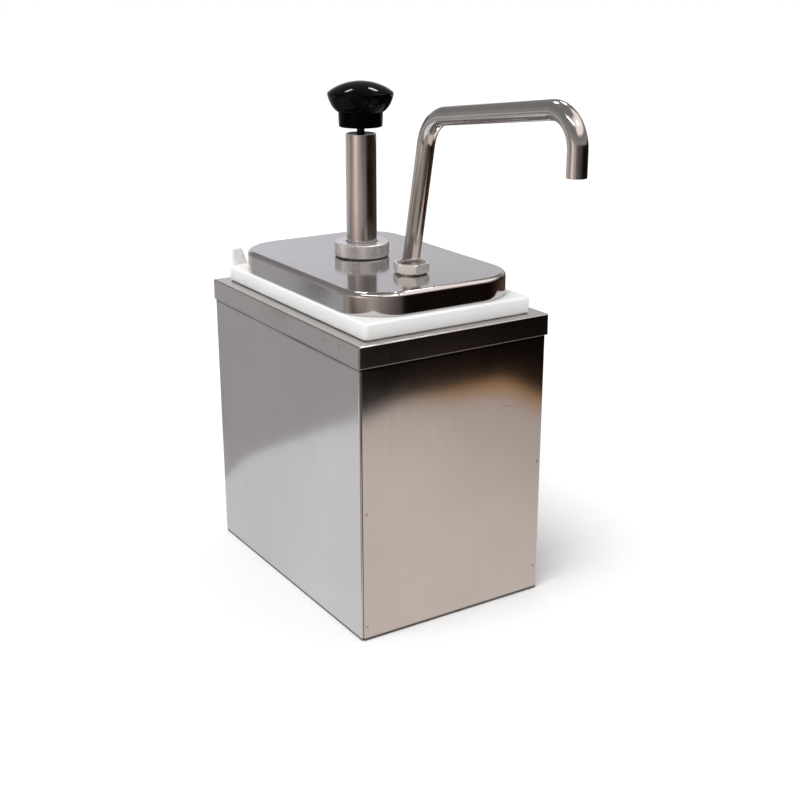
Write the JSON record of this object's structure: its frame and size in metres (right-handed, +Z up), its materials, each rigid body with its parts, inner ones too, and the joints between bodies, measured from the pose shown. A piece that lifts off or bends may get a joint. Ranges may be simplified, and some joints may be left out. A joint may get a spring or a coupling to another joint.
{
  "type": "condiment pump dispenser",
  "caption": "Countertop sauce dispenser: a boxy steel stand holding a white jar, with a rounded lid, a press-down pump and a bent swivelling spout.",
  "frame": {"origin": "centre of the stand's underside, on the surface that it stands on", "axes": "+Z up; -Y is the side the spout points to and the narrow front; +X is the right-hand side seen from behind the pump looking along +Y from the front"},
  "size_m": [0.1772, 0.3901, 0.4262],
  "materials": {
    "brushed_steel": "brushed",
    "satin_steel": "satin",
    "polished_steel": "polished",
    "white_plastic": "semi-matt moulded",
    "natural_plastic": "machined",
    "black_plastic": "gloss",
    "black_steel": "blackened",
    "black_rubber": "matt",
    "brass": "turned"
  },
  "bodies": {
    "stand": {"stand_wrap": "brushed_steel", "front_panel": "brushed_steel", "top_frame": "brushed_steel", "base_plate": "satin_steel"},
    "jar": {"jar": "white_plastic"},
    "lid": {"lid": "polished_steel", "pump_gasket": "black_rubber", "outlet_gasket": "black_rubber", "pump_head": "satin_steel", "guide_bush": "natural_plastic", "cylinder": "satin_steel", "cylinder_gasket": "black_rubber", "valve_body": "satin_steel", "passage_plug": "satin_steel", "inlet_seat": "satin_steel", "outlet_stop_pin": "polished_steel", "spring_seat": "satin_steel", "return_spring": "polished_steel", "riser_tube": "satin_steel", "outlet_fitting": "satin_steel"},
    "plunger": {"knob": "black_plastic", "knob_insert": "brass", "plunger_rod": "black_steel", "plunger_sleeve": "brushed_steel", "sleeve_cap": "black_plastic", "piston": "natural_plastic", "piston_oring": "black_rubber", "cup_seal": "black_rubber", "seal_washer": "polished_steel", "piston_nut": "polished_steel"},
    "collar_washer": {"collar_washer": "black_rubber"},
    "collar": {"collar": "polished_steel"},
    "spout_washer": {"spout_washer": "polished_steel"},
    "spout_nut": {"spout_nut": "polished_steel"},
    "spout": {"spout_tube": "polished_steel", "spout_ferrule": "polished_steel", "spout_oring": "black_rubber"},
    "inlet_ball": {"inlet_ball": "polished_steel"},
    "outlet_ball": {"outlet_ball": "polished_steel"}
  },
  "joints": [
    {"name": "jar_lift", "type": "slide", "parent": "stand", "child": "jar", "axis": [0, 0, 1], "range_m": [0, 0.18]},
    {"name": "lid_lift", "type": "slide", "parent": "jar", "child": "lid", "axis": [0, 0, 1], "range_m": [0, 0.19]},
    {"name": "plunger_press", "type": "slide", "parent": "lid", "child": "plunger", "axis": [0, 0, -1], "range_m": [0, 0.04], "stiffness_N_per_m": 300, "springref_m": -0.02, "deforming": ["return_spring"]},
    {"name": "spout_swivel", "type": "hinge", "parent": "lid", "child": "spout", "pos_m": [0, -0.06, 0.283], "axis": [0, 0, 1], "range_deg": [-145, 145]},
    {"name": "collar_rise", "type": "slide", "parent": "lid", "child": "collar_washer", "axis": [0, 0, 1], "range_m": [0, 0.0061]},
    {"name": "collar_turn", "type": "hinge", "parent": "collar_washer", "child": "collar", "pos_m": [0, 0.0165, 0.2772], "axis": [0, 0, 1], "range_deg": [0, 1440]},
    {"name": "nut_rise", "type": "slide", "parent": "lid", "child": "spout_washer", "axis": [0, 0, 1], "range_m": [0, 0.0041]},
    {"name": "nut_turn", "type": "hinge", "parent": "spout_washer", "child": "spout_nut", "pos_m": [0, -0.06, 0.2774], "axis": [0, 0, 1], "range_deg": [0, 1440]},
    {"name": "inlet_ball_lift", "type": "slide", "parent": "lid", "child": "inlet_ball", "axis": [0, 0, 1], "range_m": [0, 0.003]},
    {"name": "outlet_ball_lift", "type": "slide", "parent": "lid", "child": "outlet_ball", "axis": [0, 0, 1], "range_m": [0, 0.006]}
  ],
  "couplings": [
    {"joint": "collar_rise", "follows": "collar_turn", "m_per_rad": 0.00023873},
    {"joint": "nut_rise", "follows": "nut_turn", "m_per_rad": 0.00015915}
  ]
}
